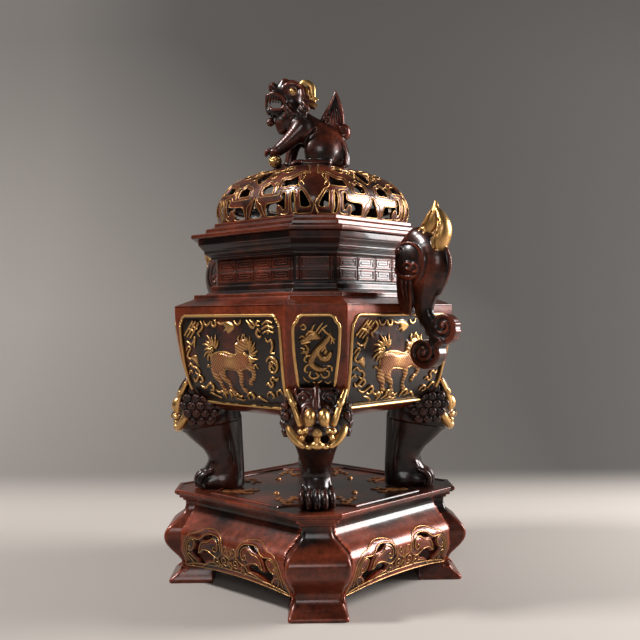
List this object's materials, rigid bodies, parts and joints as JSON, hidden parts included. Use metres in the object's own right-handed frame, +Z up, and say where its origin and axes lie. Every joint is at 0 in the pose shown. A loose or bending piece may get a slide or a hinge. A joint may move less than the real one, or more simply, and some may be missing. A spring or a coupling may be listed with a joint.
{
  "type": "bronze incense burner",
  "caption": "Lidded bronze incense burner on beast-mask legs, with bird-head handles, a pierced domed lid with a lion finial, and a footed stand with openwork aprons.",
  "frame": {"origin": "centre of the stand's footprint, on the surface that its four feet stand on", "axes": "+Z up; -Y and +X are the two broad faces seen in the picture, and the handles lie on the X axis"},
  "size_m": [0.331, 0.232, 0.4686],
  "materials": {
    "bronze": "glossy red-brown patina",
    "dark_bronze": "glossy near-black brown patina",
    "gilt": "satin gold wash"
  },
  "bodies": {
    "stand": {"stand_top": "bronze", "stand_post_1": "bronze", "stand_post_2": "bronze", "stand_post_3": "bronze", "stand_post_4": "bronze", "stand_apron_1": "bronze", "stand_apron_2": "bronze", "stand_apron_3": "bronze", "stand_apron_4": "bronze", "stand_stud_1": "gilt", "stand_stud_2": "gilt", "stand_stud_3": "gilt", "stand_stud_4": "gilt"},
    "burner": {"belly": "bronze", "neck": "dark_bronze", "leg_1": "dark_bronze", "leg_2": "dark_bronze", "leg_3": "dark_bronze", "leg_4": "dark_bronze", "leg_bolt_1": "dark_bronze", "leg_bolt_2": "dark_bronze", "leg_bolt_3": "dark_bronze", "leg_bolt_4": "dark_bronze", "handle_right": "bronze", "handle_left": "bronze"},
    "lid": {"lid_base": "bronze", "lid_dome": "bronze", "finial_nut": "dark_bronze", "lion": "dark_bronze", "lion_ball": "gilt"}
  },
  "joints": [
    {"name": "burner_lift", "type": "slide", "parent": "stand", "child": "burner", "axis": [0, 0, 1], "range_m": [0, 0.2]},
    {"name": "lid_lift", "type": "slide", "parent": "burner", "child": "lid", "axis": [0, 0, 1], "range_m": [0, 0.15]}
  ]
}
